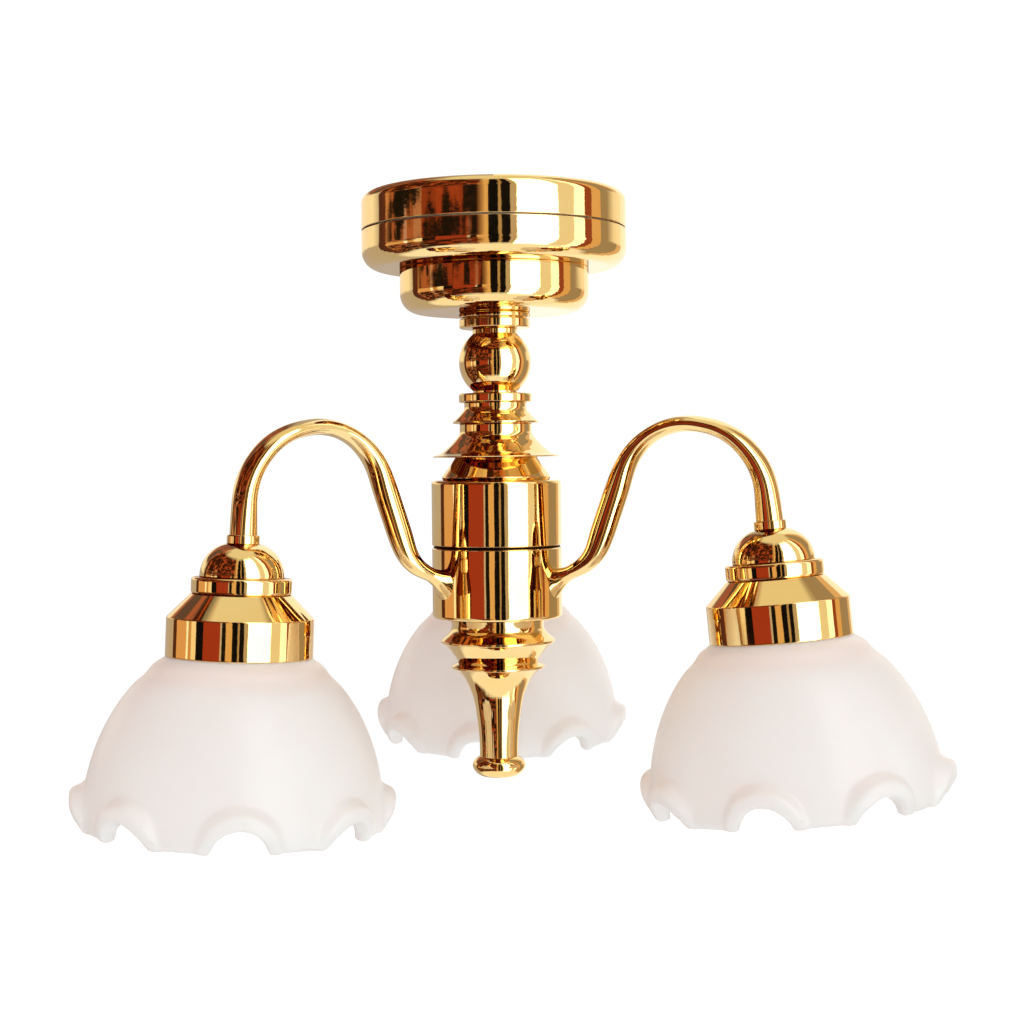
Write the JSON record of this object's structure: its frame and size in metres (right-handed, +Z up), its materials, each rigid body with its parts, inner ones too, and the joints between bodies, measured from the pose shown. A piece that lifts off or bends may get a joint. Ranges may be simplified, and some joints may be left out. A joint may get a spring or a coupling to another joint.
{
  "type": "miniature chandelier",
  "caption": "Dolls-house ceiling light with a round canopy, turned stem, bent arms and frosted bell shades facing down.",
  "frame": {"origin": "centre of the adhesive face that sticks to the ceiling", "axes": "+Z up, out of the ceiling face; the stem hangs along -Z; -Y is the front, with one arm to the rear"},
  "size_m": [0.0669, 0.063, 0.0502],
  "materials": {
    "gold_plate": "polished",
    "raw_brass": "satin",
    "frosted_glass": "frosted",
    "adhesive_foam": "matte",
    "nickel_plate": "polished",
    "cell_steel": "satin",
    "clear_film": "gloss",
    "white_plastic": "matte",
    "black_plastic": "matte",
    "resistor_body": "gloss",
    "red_wire": "gloss",
    "black_wire": "gloss",
    "enamel_wire": "gloss",
    "board_laminate": "satin",
    "led_epoxy": "gloss"
  },
  "bodies": {
    "ceiling_side": {"adhesive_pad": "adhesive_foam", "ceiling_cap": "gold_plate", "cap_magnets": "nickel_plate", "cell_insulator": "clear_film"},
    "lamp": {"canopy_base": "gold_plate", "canopy_step": "gold_plate", "neck_ring": "gold_plate", "stem_ball": "gold_plate", "lower_ring": "gold_plate", "small_bell_cap": "gold_plate", "large_bell_cap": "gold_plate", "body_shoulder": "gold_plate", "body_drum_upper": "gold_plate", "body_drum_lower": "gold_plate", "finial_collar": "gold_plate", "finial": "gold_plate", "tray_magnets": "nickel_plate", "battery_tray": "white_plastic", "coin_cell": "cell_steel", "positive_contact": "nickel_plate", "negative_contact": "nickel_plate", "switch_body": "black_plastic", "switch_pins": "nickel_plate", "resistor": "resistor_body", "tray_jumpers": "red_wire", "center_tube": "raw_brass", "tube_nut": "raw_brass", "positive_stem_lead": "red_wire", "negative_stem_lead": "black_wire", "junction_board": "board_laminate", "left_arm": "gold_plate", "left_arm_foot": "gold_plate", "left_ferrule": "gold_plate", "left_socket_dome": "gold_plate", "left_socket_ring": "gold_plate", "left_shade_gallery": "gold_plate", "left_shade": "frosted_glass", "left_led": "led_epoxy", "left_led_holder": "white_plastic", "left_arm_leads": "enamel_wire", "right_arm": "gold_plate", "right_arm_foot": "gold_plate", "right_ferrule": "gold_plate", "right_socket_dome": "gold_plate", "right_socket_ring": "gold_plate", "right_shade_gallery": "gold_plate", "right_shade": "frosted_glass", "right_led": "led_epoxy", "right_led_holder": "white_plastic", "right_arm_leads": "enamel_wire", "rear_arm": "gold_plate", "rear_arm_foot": "gold_plate", "rear_ferrule": "gold_plate", "rear_socket_dome": "gold_plate", "rear_socket_ring": "gold_plate", "rear_shade_gallery": "gold_plate", "rear_shade": "frosted_glass", "rear_led": "led_epoxy", "rear_led_holder": "white_plastic", "rear_arm_leads": "enamel_wire"},
    "switch": {"switch_lever": "black_plastic"}
  },
  "joints": [
    {"name": "lamp_release", "type": "slide", "parent": "ceiling_side", "child": "lamp", "axis": [0, 0, -1], "range_m": [0, 0.012]},
    {"name": "switch_slide", "type": "slide", "parent": "lamp", "child": "switch", "axis": [1, 0, 0], "range_m": [0, 0.0015]}
  ]
}
